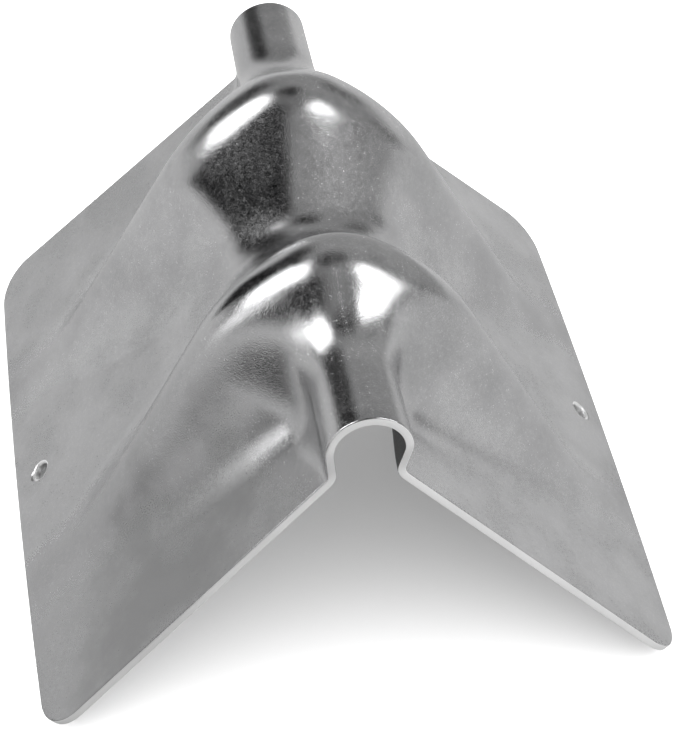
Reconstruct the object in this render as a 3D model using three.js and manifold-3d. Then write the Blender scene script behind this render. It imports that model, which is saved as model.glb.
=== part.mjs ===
// Corner protector for tie-down straps: one piece of galvanised sheet, pressed to shape.
// Millimetres, +Z up. The crest runs along Y, the two wings slope down at 45 degrees to either side,
// and the part stands on the outer edges of its wings, with the origin under the middle of the crest.
import * as THREE from "three";
import { mergeVertices, toCreasedNormals } from "three/addons/utils/BufferGeometryUtils.js";
import Module from "manifold-3d";

const { smoothstep, clamp, degToRad } = THREE.MathUtils;

// Sheet and blank
const LENGTH = 230; // along the outer edges of the wings
const SHEET = 2.7; // thickness
const WING_SLANT = 148.2; // from the virtual crest line down the wing to its outer edge
const WING_ANGLE = degToRad(45); // slope of each wing below the horizontal
const EDGE_CROWN = 2.5; // how far the middle of an outer edge stands past its corners
const CORNER_RADIUS = 15; // rounded corners of the wings
const END_PULL_WING = 10.8; // how far forming draws the ends in, on the line of the crest
const END_PULL_ROLL = 5.1; // the same on top of the roll

// Tie hole near each outer edge
const HOLE_DIAMETER = 6.5;
const HOLE_MARGIN = 12.7; // from its centre to the outer edge

// Roll along the crest, open below, at both ends
const ROLL_RADIUS = 13.5; // outer
const ROLL_CENTRE = 2.3; // above the virtual crest line
const ROLL_LEG_ANGLE = degToRad(7); // the legs close in a little towards the neck
const ROLL_FILLET = 3.7; // hollow fillet from a leg into the wing
const ROLL_INNER_FILLET = 21; // the same radius where the roll meets a rib
const ROLL_FLARE = 26; // length from the end over which that radius grows

// Domed ribs across the crest
const RIB_HEIGHT = 28.5; // top of the rib above the virtual crest line
const RIB_TOP_RADIUS = 30;
const RIB_TOP_ANGLE = degToRad(31); // where the top arc meets the shoulder arc
const RIB_SHOULDER_RADIUS = 83;
const RIB_FOOT_MARGIN = 19.3; // from the foot of a rib's flank down the wing to the outer edge
const RIB_FOOT_BLEND = 9; // height over which a flank runs out into the wing
const RIB_PITCH_CREST = 44.5; // from the middle of the part to the ridge of a rib, at the crest
const RIB_PITCH_FOOT = 48.5; // the same at the rib's foot
const RIB_OUTER_CREST = 36; // run of the slope from ridge to roll, at the crest
const RIB_OUTER_FOOT = 19;
const RIB_OUTER_BULGE = 9; // how much longer that slope is half way down the wing
const RIB_OUTER_POWER = 2.2; // how late that slope narrows on its way down the wing
const RIB_INNER_FOOT = 18; // run of the slope from ridge to saddle, at the rib's foot
const RIB_INNER_POWER = 2.6;
const RIB_OUTER_ROUNDING = 0.33; // share of a slope that is rounded at its ridge
const RIB_OUTER_RUNOUT = 0.62; // share of it that is rounded at its foot
const RIB_INNER_ROUNDING = 0.3;
const RIB_INNER_RUNOUT = 0.26;

// Saddle between the ribs
const SADDLE_HEIGHT = -1; // its lowest point, above the virtual crest line
const SADDLE_RADIUS = 34;
const SADDLE_ANGLE = degToRad(58);
const SADDLE_FOOT_BLEND = 3.5;

// Shares of a half section: its crown ends at the first, and the rib's flank at the second
const CROWN_SHARE = 0.36;
const FLANK_SHARE = 0.81;

// Fineness of the mesh
const CROWN_STEPS = 12;
const FLANK_STEPS = 10;
const WING_STEPS = 4;
const END_STEPS = 6;
const OUTER_SLOPE_STEPS = 8;
const INNER_SLOPE_STEPS = 7;
const SADDLE_STEPS = 4;
const CORNER_STEPS = 10;
const HOLE_STEPS = 28;

const HALF_LENGTH = LENGTH / 2;
const SLOPE = Math.tan(WING_ANGLE);
const EDGE_X = WING_SLANT * Math.cos(WING_ANGLE);
const FLANK_END_X = (WING_SLANT - RIB_FOOT_MARGIN) * Math.cos(WING_ANGLE);
const STAND_HEIGHT = (WING_SLANT + EDGE_CROWN) * Math.sin(WING_ANGLE) + SHEET * Math.cos(WING_ANGLE);
const CUT_DEPTH = 8 * SHEET; // the cutters reach well through the sheet on both sides

// Larger of value and zero, with a soft change over the band from -blend to +blend.
function softPositive(value, blend) {
  if (value >= blend) return value;
  if (value <= -blend) return 0;
  return (value + blend) ** 2 / (4 * blend);
}

// Point of an arc, at an angle from straight above its centre towards the outer edge.
function onArc(centre, radius, angle) {
  return new THREE.Vector2(centre.x + radius * Math.sin(angle), centre.y + radius * Math.cos(angle));
}

// Slope of the line that leaves a circle as its tangent and runs down to a point outside it.
function tangentAngle(centre, radius, point) {
  const away = point.clone().sub(centre);
  return Math.atan2(away.x, away.y) - Math.acos(radius / away.length());
}

// Place across a half section, for shares past the crown: down the flank, then down the plain wing.
function acrossFlank(share, fromX) {
  if (share < FLANK_SHARE) {
    return THREE.MathUtils.mapLinear(share, CROWN_SHARE, FLANK_SHARE, fromX, FLANK_END_X);
  }
  return THREE.MathUtils.mapLinear(share, FLANK_SHARE, 1, FLANK_END_X, EDGE_X);
}

// Raises a point of a rib or a saddle that lies under the plain wing, and blends its foot into it.
function ontoWing(x, z, blend) {
  return new THREE.Vector2(x, -x * SLOPE + softPositive(z + x * SLOPE, blend));
}

// Centres of a rib's top arc and shoulder arc, which meet at the top angle.
const TOP_CENTRE = new THREE.Vector2(0, RIB_HEIGHT - RIB_TOP_RADIUS);
const SHOULDER_CENTRE = onArc(TOP_CENTRE, RIB_TOP_RADIUS - RIB_SHOULDER_RADIUS, RIB_TOP_ANGLE);

// Slope of a rib's flank, which leaves the shoulder arc and ends on the wing at the rib's foot.
const RIB_FOOT = new THREE.Vector2(FLANK_END_X, -FLANK_END_X * SLOPE);
const FLANK_ANGLE = tangentAngle(SHOULDER_CENTRE, RIB_SHOULDER_RADIUS, RIB_FOOT);

// Half section on the ridge of a rib: top arc, shoulder arc and straight flank.
function ribSection(share) {
  const topLength = RIB_TOP_RADIUS * RIB_TOP_ANGLE;
  const shoulderLength = RIB_SHOULDER_RADIUS * (FLANK_ANGLE - RIB_TOP_ANGLE);
  const run = clamp(share / CROWN_SHARE, 0, 1) * (topLength + shoulderLength);
  if (run < topLength) return onArc(TOP_CENTRE, RIB_TOP_RADIUS, run / RIB_TOP_RADIUS);
  const angle = RIB_TOP_ANGLE + (run - topLength) / RIB_SHOULDER_RADIUS;
  const arc = onArc(SHOULDER_CENTRE, RIB_SHOULDER_RADIUS, angle);
  if (share <= CROWN_SHARE) return arc;
  const x = acrossFlank(share, arc.x);
  return ontoWing(x, arc.y - (x - arc.x) * Math.tan(FLANK_ANGLE), RIB_FOOT_BLEND);
}

// Half section in the middle of the saddle: one arc and its tangent, run out into the wing.
function saddleSection(share) {
  const centre = new THREE.Vector2(0, SADDLE_HEIGHT - SADDLE_RADIUS);
  const arc = onArc(centre, SADDLE_RADIUS, clamp(share / CROWN_SHARE, 0, 1) * SADDLE_ANGLE);
  if (share <= CROWN_SHARE) return arc;
  const x = acrossFlank(share, arc.x);
  return ontoWing(x, arc.y - (x - arc.x) * Math.tan(SADDLE_ANGLE), SADDLE_FOOT_BLEND);
}

// Circular arc about a centre, from one angle to another.
function circularArc(centre, radius, from, to) {
  return new THREE.EllipseCurve(centre.x, centre.y, radius, radius, from, to, to < from);
}

// The roll's half section as a path of true arcs: round back, leg, hollow fillet into the wing.
function rollPath(radius) {
  const legNormal = new THREE.Vector2(Math.cos(ROLL_LEG_ANGLE), -Math.sin(ROLL_LEG_ANGLE));
  const wingNormal = new THREE.Vector2(Math.sin(WING_ANGLE), Math.cos(WING_ANGLE));
  const legReach = ROLL_RADIUS + legNormal.y * ROLL_CENTRE + radius;
  const det = legNormal.x * wingNormal.y - legNormal.y * wingNormal.x;
  const fillet = new THREE.Vector2(
    (legReach * wingNormal.y - radius * legNormal.y) / det,
    (radius * legNormal.x - legReach * wingNormal.x) / det,
  );
  const legTop = legNormal.clone().multiplyScalar(ROLL_RADIUS).add(new THREE.Vector2(0, ROLL_CENTRE));
  const legFoot = fillet.clone().addScaledVector(legNormal, -radius);
  const path = new THREE.CurvePath();
  path.add(circularArc(new THREE.Vector2(0, ROLL_CENTRE), ROLL_RADIUS, Math.PI / 2, -ROLL_LEG_ANGLE));
  path.add(new THREE.LineCurve(legTop, legFoot));
  path.add(circularArc(fillet, radius, Math.PI - ROLL_LEG_ANGLE, Math.PI * 1.5 - WING_ANGLE));
  return path;
}

const rolls = new Map();

// The roll's path at a distance from the middle of the part. It flares towards the ribs.
function rollAt(away) {
  if (!rolls.has(away)) {
    const flare = smoothstep(HALF_LENGTH - away, 0, ROLL_FLARE);
    rolls.set(away, rollPath(THREE.MathUtils.lerp(ROLL_FILLET, ROLL_INNER_FILLET, flare)));
  }
  return rolls.get(away);
}

// Half section between a rib and the nearer end of the part: the roll, then the plain wing.
function endSection(share, away) {
  const roll = rollAt(away);
  if (share <= CROWN_SHARE) return roll.getPoint(share / CROWN_SHARE);
  const x = acrossFlank(share, roll.getPoint(1).x);
  return new THREE.Vector2(x, -x * SLOPE);
}

// Falls from 1 to 0 as run goes from 0 to 1, straight between a rounded start and a rounded run-out.
function roundedSlope(run, rounding, runout) {
  const t = clamp(run, 0, 1);
  const steepness = 1 / (1 - (rounding + runout) / 2);
  if (t < rounding) return 1 - (steepness * t ** 2) / (2 * rounding);
  if (t > 1 - runout) return (steepness * (1 - t) ** 2) / (2 * runout);
  return 1 - steepness * (t - rounding / 2);
}

// Share of the rib's section that a point takes: 1 on the ridge line, 0 past either slope of the rib.
function ribShare(share, away) {
  const down = clamp(share / FLANK_SHARE, 0, 1);
  const ridge = THREE.MathUtils.lerp(RIB_PITCH_CREST, RIB_PITCH_FOOT, down);
  const bulge = RIB_OUTER_BULGE * 4 * down * (1 - down);
  const outer = THREE.MathUtils.lerp(RIB_OUTER_FOOT, RIB_OUTER_CREST, 1 - down ** RIB_OUTER_POWER) + bulge;
  const inner = THREE.MathUtils.lerp(RIB_INNER_FOOT, ridge, 1 - down ** RIB_INNER_POWER);
  if (away > ridge) {
    const run = (away - ridge) / outer;
    return { part: roundedSlope(run, RIB_OUTER_ROUNDING, RIB_OUTER_RUNOUT), outside: true };
  }
  const run = (ridge - away) / inner;
  return { part: roundedSlope(run, RIB_INNER_ROUNDING, RIB_INNER_RUNOUT), outside: false };
}

// How far the end of the part is drawn in at a place across the section.
function endPull(share, endX) {
  const wingPull = END_PULL_WING * (1 - endX / EDGE_X);
  if (share >= CROWN_SHARE) return wingPull;
  const toWing = smoothstep(share, CROWN_SHARE / 2, CROWN_SHARE);
  return THREE.MathUtils.lerp(END_PULL_ROLL, wingPull, toWing);
}

// Point of the outer surface: across is -1 to 1 from the left edge to the right, station is along Y.
function outerPoint(across, station) {
  const share = Math.abs(across);
  const away = Math.abs(station);
  const rib = ribShare(share, away);
  const end = endSection(share, away);
  const base = rib.outside ? end : saddleSection(share);
  const point = base.clone().lerp(ribSection(share), rib.part);
  const reach = WING_SLANT + EDGE_CROWN * (1 - (away / HALF_LENGTH) ** 2);
  const stretch = share > FLANK_SHARE ? (share - FLANK_SHARE) / (1 - FLANK_SHARE) : 0;
  const crown = (reach - WING_SLANT) * Math.cos(WING_ANGLE) * stretch;
  const pull = endPull(share, end.x) * smoothstep(away, 0, HALF_LENGTH);
  const x = point.x + crown;
  const z = point.y - crown * SLOPE;
  return new THREE.Vector3(Math.sign(across) * x, station * (1 - pull / HALF_LENGTH), z);
}

// Outward normal of the outer surface, from the differences to its neighbours.
function outerNormal(across, station) {
  const dAcross = 1e-3;
  const dStation = 0.1;
  const a = outerPoint(Math.min(across + dAcross, 1), station);
  const b = outerPoint(Math.max(across - dAcross, -1), station);
  const c = outerPoint(across, Math.min(station + dStation, HALF_LENGTH));
  const d = outerPoint(across, Math.max(station - dStation, -HALF_LENGTH));
  return a.sub(b).cross(c.sub(d)).normalize();
}

// Values from one end to the other in stretches of even steps, without the last value.
function stretches(ends, steps) {
  return steps.flatMap((count, i) => {
    return Array.from({ length: count }, (_, k) => THREE.MathUtils.lerp(ends[i], ends[i + 1], k / count));
  });
}

// Mirrors a falling list of values about zero, so that it rises from the largest negative value.
function mirrored(values) {
  return [...values.map((v) => -v), 0, ...[...values].reverse()];
}

// Places of the mesh lines across the part, from the left edge to the right.
function linesAcross() {
  const ends = [1, FLANK_SHARE, CROWN_SHARE, 0];
  return mirrored(stretches(ends, [WING_STEPS, FLANK_STEPS, CROWN_STEPS]));
}

// Places of the mesh lines along the part, closest where its ribs slope.
function linesAlong() {
  const ends = [HALF_LENGTH, RIB_PITCH_CREST + RIB_OUTER_CREST, RIB_PITCH_CREST, RIB_PITCH_CREST / 2, 0];
  return mirrored(stretches(ends, [END_STEPS, OUTER_SLOPE_STEPS, INNER_SLOPE_STEPS, SADDLE_STEPS]));
}

// Closed shell of even thickness: outer skin, inner skin and the cut edges between them.
function shellGeometry() {
  const across = linesAcross();
  const stations = linesAlong();
  const columns = across.length;
  const rows = stations.length;
  const outer = [];
  const inner = [];
  for (const station of stations) {
    for (const place of across) {
      const point = outerPoint(place, station);
      outer.push(...point);
      inner.push(...point.addScaledVector(outerNormal(place, station), -SHEET));
    }
  }
  const index = [];
  const depth = columns * rows;
  const quad = (a, b, c, d) => index.push(a, b, c, a, c, d);
  for (let r = 0; r + 1 < rows; r += 1) {
    for (let k = 0; k + 1 < columns; k += 1) {
      const a = r * columns + k;
      quad(a, a + 1, a + columns + 1, a + columns);
      quad(depth + a + columns, depth + a + columns + 1, depth + a + 1, depth + a);
    }
    const left = r * columns;
    const right = left + columns - 1;
    quad(left, left + columns, depth + left + columns, depth + left);
    quad(right + columns, right, depth + right, depth + right + columns);
  }
  const last = (rows - 1) * columns;
  for (let k = 0; k + 1 < columns; k += 1) {
    quad(k + 1, k, depth + k, depth + k + 1);
    quad(last + k, last + k + 1, depth + last + k + 1, depth + last + k);
  }
  const geometry = new THREE.BufferGeometry();
  geometry.setAttribute("position", new THREE.Float32BufferAttribute([...outer, ...inner], 3));
  geometry.setIndex(index);
  return geometry;
}

// Puts a cutter, made about Z, at right angles to a wing. side is -1 for the left wing and 1 for the right.
function onWing(geometry, side, slant, y) {
  const turn = side * WING_ANGLE;
  const place = new THREE.Matrix4().makeRotationY(turn);
  place.setPosition(side * slant * Math.cos(WING_ANGLE), y, -slant * Math.sin(WING_ANGLE));
  return geometry.applyMatrix4(place);
}

// Outline that holds a wing's sharp corner, with the corner at its origin, X down the wing and Y
// towards the end. Its hollow side is the rounded corner, tangent to the outer edge and to the end.
function cornerOutline() {
  const alongEdge = new THREE.Vector2((2 * EDGE_CROWN) / HALF_LENGTH, -1).normalize();
  const alongEnd = new THREE.Vector2(-1, -END_PULL_WING / WING_SLANT).normalize();
  const half = Math.acos(alongEdge.dot(alongEnd)) / 2;
  const inwards = alongEdge.clone().add(alongEnd).normalize();
  const centre = inwards.clone().multiplyScalar(CORNER_RADIUS / Math.sin(half));
  const fromEnd = alongEnd.clone().multiplyScalar(CORNER_RADIUS / Math.tan(half)).sub(centre);
  const fromEdge = alongEdge.clone().multiplyScalar(CORNER_RADIUS / Math.tan(half)).sub(centre);
  const arc = circularArc(centre, CORNER_RADIUS, fromEnd.angle(), fromEdge.angle() - 2 * Math.PI);
  const beyondEdge = fromEdge.clone().multiplyScalar(2).add(centre);
  const beyondCorner = inwards.clone().multiplyScalar(-2 * CORNER_RADIUS);
  const beyondEnd = fromEnd.clone().multiplyScalar(2).add(centre);
  return [...arc.getPoints(CORNER_STEPS), beyondEdge, beyondCorner, beyondEnd];
}

// Cutter that takes the sharp corner off a wing, at one end of the part.
function cornerCutter(side, end) {
  const outline = cornerOutline().map((point) => new THREE.Vector2(point.x * side, point.y * end));
  const options = { depth: CUT_DEPTH, bevelEnabled: false };
  const geometry = new THREE.ExtrudeGeometry(new THREE.Shape(outline), options);
  geometry.translate(0, 0, -CUT_DEPTH / 2);
  return onWing(geometry, side, WING_SLANT, end * HALF_LENGTH);
}

// Round punch for the tie hole.
function holeCutter(side) {
  const radius = HOLE_DIAMETER / 2;
  const geometry = new THREE.CylinderGeometry(radius, radius, CUT_DEPTH, HOLE_STEPS);
  geometry.rotateX(Math.PI / 2);
  return onWing(geometry, side, WING_SLANT + EDGE_CROWN - HOLE_MARGIN, 0);
}

const wasm = await Module();
wasm.setup();

// three.js geometry to a manifold-3d solid, with its vertices merged.
function toSolid(geometry) {
  const bare = geometry.clone();
  bare.deleteAttribute("normal");
  bare.deleteAttribute("uv");
  const merged = mergeVertices(bare, 1e-4);
  const vertProperties = new Float32Array(merged.attributes.position.array);
  const triVerts = new Uint32Array(merged.index.array);
  return new wasm.Manifold(new wasm.Mesh({ numProp: 3, vertProperties, triVerts }));
}

// manifold-3d solid back to a three.js geometry.
function toGeometry(solid) {
  const mesh = solid.getMesh();
  const geometry = new THREE.BufferGeometry();
  geometry.setAttribute("position", new THREE.BufferAttribute(mesh.vertProperties, 3));
  geometry.setIndex(new THREE.BufferAttribute(mesh.triVerts, 1));
  return toCreasedNormals(geometry, degToRad(30));
}

// The pressed sheet with its corners rounded and its holes punched.
function pressedShell() {
  let solid = toSolid(shellGeometry());
  for (const side of [-1, 1]) {
    for (const end of [-1, 1]) solid = solid.subtract(toSolid(cornerCutter(side, end)));
    solid = solid.subtract(toSolid(holeCutter(side)));
  }
  return toGeometry(solid);
}

const galvanised = new THREE.MeshStandardMaterial({ color: 0xb9bbbd, roughness: 0.3, metalness: 1 });

const shell = new THREE.Mesh(pressedShell(), galvanised);
shell.name = "pressed_shell";
shell.position.z = STAND_HEIGHT;

const protector = new THREE.Group();
protector.add(shell);

export default protector;
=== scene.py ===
"""Visual model of a pressed steel load corner protector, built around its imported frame."""

import logging
import math
from dataclasses import dataclass, fields
from enum import Enum

import bmesh
import bpy
from mathutils import Matrix, Vector


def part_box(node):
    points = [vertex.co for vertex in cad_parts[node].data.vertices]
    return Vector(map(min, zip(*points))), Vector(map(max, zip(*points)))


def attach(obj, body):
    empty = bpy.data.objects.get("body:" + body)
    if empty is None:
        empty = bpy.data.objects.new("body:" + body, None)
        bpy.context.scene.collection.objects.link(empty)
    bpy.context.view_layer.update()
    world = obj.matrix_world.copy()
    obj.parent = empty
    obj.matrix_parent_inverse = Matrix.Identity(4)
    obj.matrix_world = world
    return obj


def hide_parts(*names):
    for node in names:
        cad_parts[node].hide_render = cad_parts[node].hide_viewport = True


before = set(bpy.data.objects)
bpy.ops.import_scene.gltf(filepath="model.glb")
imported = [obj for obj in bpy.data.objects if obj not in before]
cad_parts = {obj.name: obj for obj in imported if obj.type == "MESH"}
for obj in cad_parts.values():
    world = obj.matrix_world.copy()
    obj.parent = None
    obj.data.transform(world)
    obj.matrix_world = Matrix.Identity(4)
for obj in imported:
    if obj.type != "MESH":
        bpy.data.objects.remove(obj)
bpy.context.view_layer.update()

LOG = logging.getLogger("protector")

GRID_COLUMNS = 241
GRID_ROWS = 161
SEAM_DISTANCE = 1e-6
FORMED_START = 0.75  # share of the crown where the formed sheet starts to fade
FORMED_FADE = 0.6  # length of that fade, as a share of the crown
HALF = 0.5  # a rim edge has one sheared face and one plain one, so it reads this
RIM_TOLERANCE = 0.1
INNER_RIM_WEIGHT = 0.35
OUTER_RIM_WEIGHT = 1.3  # an outer rim edge reads half of this, which brings it to 1

Number = "Field | float"


class Field:
    """A number inside a node tree that varies from place to place, with everyday arithmetic."""

    def __init__(self, tree: bpy.types.NodeTree, socket: bpy.types.NodeSocket) -> None:
        """Wraps an output socket of a tree's node.

        Args:
            tree: The tree that the socket's node is in.
            socket: The output socket that carries the number.
        """
        self.tree = tree
        self.socket = socket

    def join(self, operation: str, *values: Number) -> "Field":
        """Adds one math node.

        Args:
            operation: The math node's operation.
            values: Its inputs in order, fields or plain numbers.

        Returns:
            The node's result.
        """
        node = self.tree.nodes.new("ShaderNodeMath")
        node.operation = operation
        for place, value in enumerate(values):
            if isinstance(value, Field):
                self.tree.links.new(value.socket, node.inputs[place])
            else:
                node.inputs[place].default_value = value
        return Field(self.tree, node.outputs[0])

    def __add__(self, other: Number) -> "Field":
        """Sum."""
        return self.join("ADD", self, other)

    __radd__ = __add__

    def __sub__(self, other: Number) -> "Field":
        """Difference."""
        return self.join("SUBTRACT", self, other)

    def __rsub__(self, other: Number) -> "Field":
        """Difference, with the field taken away."""
        return self.join("SUBTRACT", other, self)

    def __mul__(self, other: Number) -> "Field":
        """Product."""
        return self.join("MULTIPLY", self, other)

    __rmul__ = __mul__

    def __truediv__(self, other: Number) -> "Field":
        """Quotient."""
        return self.join("DIVIDE", self, other)

    def __rtruediv__(self, other: Number) -> "Field":
        """Quotient, with the field below the line."""
        return self.join("DIVIDE", other, self)

    def __pow__(self, other: Number) -> "Field":
        """Power."""
        return self.join("POWER", self, other)

    def __gt__(self, other: Number) -> "Field":
        """1 where the field is larger, otherwise 0."""
        return self.join("GREATER_THAN", self, other)

    def sine(self) -> "Field":
        """Sine of an angle in radians."""
        return self.join("SINE", self)

    def cosine(self) -> "Field":
        """Cosine of an angle in radians."""
        return self.join("COSINE", self)

    def tangent(self) -> "Field":
        """Tangent of an angle in radians."""
        return self.join("TANGENT", self)

    def root(self) -> "Field":
        """Square root."""
        return self.join("SQRT", self)

    def size(self) -> "Field":
        """The number without its sign."""
        return self.join("ABSOLUTE", self)

    def sign(self) -> "Field":
        """-1, 0 or 1."""
        return self.join("SIGN", self)

    def at_least(self, low: Number) -> "Field":
        """The larger of the field and a limit."""
        return self.join("MAXIMUM", self, low)

    def at_most(self, high: Number) -> "Field":
        """The smaller of the field and a limit."""
        return self.join("MINIMUM", self, high)

    def between(self, low: Number, high: Number) -> "Field":
        """The field, held between two limits."""
        return self.at_least(low).at_most(high)

    def blend(self, start: Number, end: Number) -> "Field":
        """From start, where the field is 0, to end, where it is 1.

        Args:
            start: Value where the field is 0.
            end: Value where the field is 1.

        Returns:
            The value between them.
        """
        if isinstance(start, Field):
            return start + self * (end - start)
        return self * (end - start) + start

    def eased(self) -> "Field":
        """A smooth step from 0 to 1 as the field goes from 0 to 1."""
        held = self.between(0.0, 1.0)
        return held * held * (3.0 - 2.0 * held)


@dataclass(frozen=True)
class SheetSizes:
    """Sizes of the pressed sheet in metres and radians. The first four come from the frame."""

    half_length: float
    wing_slant: float
    rib_height: float
    stand_height: float
    sheet: float = 0.0027
    wing_angle: float = math.radians(45)
    edge_crown: float = 0.0025
    corner_radius: float = 0.015
    end_pull_wing: float = 0.0108
    end_pull_roll: float = 0.0051
    roll_radius: float = 0.0135
    roll_centre: float = 0.0023
    roll_leg_angle: float = math.radians(7)
    roll_fillet: float = 0.0037
    roll_inner_fillet: float = 0.021
    roll_flare: float = 0.026
    rib_top_radius: float = 0.030
    rib_top_angle: float = math.radians(31)
    rib_shoulder_radius: float = 0.083
    rib_foot_margin: float = 0.0193
    rib_foot_blend: float = 0.009
    rib_pitch_crest: float = 0.0445
    rib_pitch_foot: float = 0.0485
    rib_outer_crest: float = 0.036
    rib_outer_foot: float = 0.019
    rib_outer_bulge: float = 0.009
    rib_outer_power: float = 2.2
    rib_inner_foot: float = 0.018
    rib_inner_power: float = 2.6
    rib_outer_rounding: float = 0.33
    rib_outer_runout: float = 0.62
    rib_inner_rounding: float = 0.3
    rib_inner_runout: float = 0.26
    saddle_height: float = -0.001
    saddle_radius: float = 0.034
    saddle_angle: float = math.radians(58)
    saddle_foot_blend: float = 0.0035
    crown_share: float = 0.391
    flank_share: float = 0.88

    @classmethod
    def from_box(cls, low: Vector, high: Vector) -> "SheetSizes":
        """Works out the overall sizes from the CAD shell's box.

        Args:
            low: Lowest corner of the shell.
            high: Highest corner of the shell.

        Returns:
            The sizes of the sheet that fills the box.
        """
        tilt = cls.wing_angle
        wing_slant = high.x / math.cos(tilt) - cls.edge_crown
        stand_height = high.x * math.tan(tilt) + cls.sheet * math.cos(tilt) + low.z
        inset = cls.corner_inset(high.y, wing_slant)
        return cls(high.y + inset, wing_slant, high.z - stand_height, stand_height)

    @classmethod
    def corner_inset(cls, half_length: float, wing_slant: float) -> float:
        """How far the rounding takes a corner back along the crest's direction.

        Args:
            half_length: Half of the length of an outer edge, to a millimetre or so.
            wing_slant: Length of a wing down its slant.

        Returns:
            The distance from the sharp corner to the rounded one's outermost point.
        """
        along_edge = Vector((2 * cls.edge_crown / half_length, -1)).normalized()
        along_end = Vector((-1, -cls.end_pull_wing / wing_slant)).normalized()
        half = math.acos(along_edge.dot(along_end)) / 2
        inwards = (along_edge + along_end).normalized()
        return -cls.corner_radius * (inwards.y / math.sin(half) + 1)

    @property
    def flank_end(self) -> float:
        """Distance from the middle plane to the foot of a rib's flank."""
        return (self.wing_slant - self.rib_foot_margin) * math.cos(self.wing_angle)

    @property
    def flank_angle(self) -> float:
        """Slope of a rib's flank, which leaves the shoulder arc and ends at the rib's foot.

        Returns:
            The slope's angle in radians.
        """
        reach = self.rib_top_radius - self.rib_shoulder_radius
        centre_x = reach * math.sin(self.rib_top_angle)
        centre_z = self.rib_height - self.rib_top_radius + reach * math.cos(self.rib_top_angle)
        across = self.flank_end - centre_x
        down = -self.flank_end * math.tan(self.wing_angle) - centre_z
        gap = math.hypot(across, down)
        return math.atan2(across, down) - math.acos(self.rib_shoulder_radius / gap)

    @property
    def leg_start(self) -> float:
        """Length that the roll's straight leg would have with no fillet into the wing."""
        return self.leg_length(0.0)

    @property
    def leg_loss(self) -> float:
        """Length that the leg loses for each metre of the fillet's radius."""
        return (self.leg_length(0.0) - self.leg_length(self.roll_fillet)) / self.roll_fillet

    def leg_length(self, fillet: float) -> float:
        """Length of the straight leg between the roll's round back and a fillet.

        Args:
            fillet: Outer radius of the fillet into the wing.

        Returns:
            The leg's length.
        """
        leg, wing = self.roll_leg_angle, self.wing_angle
        leg_normal = Vector((math.cos(leg), -math.sin(leg)))
        wing_normal = Vector((math.sin(wing), math.cos(wing)))
        reach = self.roll_radius + leg_normal.y * self.roll_centre + fillet
        det = leg_normal.x * wing_normal.y - leg_normal.y * wing_normal.x
        middle = Vector((
            (reach * wing_normal.y - fillet * leg_normal.y) / det,
            (fillet * leg_normal.x - reach * wing_normal.x) / det,
        ))
        top = leg_normal * self.roll_radius + Vector((0, self.roll_centre))
        return (middle - leg_normal * fillet - top).length


class TreeKit:
    """Short calls for building any node tree."""

    def __init__(self, tree: bpy.types.NodeTree) -> None:
        """Keeps the tree that the nodes go into."""
        self.tree = tree

    def node(self, kind: str, **settings: object) -> bpy.types.Node:
        """Adds a node and sets its properties.

        Args:
            kind: The node's type.
            settings: Names and values of the properties to set.

        Returns:
            The new node.
        """
        made = self.tree.nodes.new(kind)
        for name, value in settings.items():
            setattr(made, name, value)
        return made

    def put(self, value: object, socket: bpy.types.NodeSocket) -> None:
        """Links an output to a socket, or sets a plain value on it.

        Args:
            value: A field, an output socket or a plain value.
            socket: The input socket that takes it.
        """
        if isinstance(value, Field):
            self.tree.links.new(value.socket, socket)
        elif isinstance(value, bpy.types.NodeSocket):
            self.tree.links.new(value, socket)
        else:
            socket.default_value = value


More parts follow.
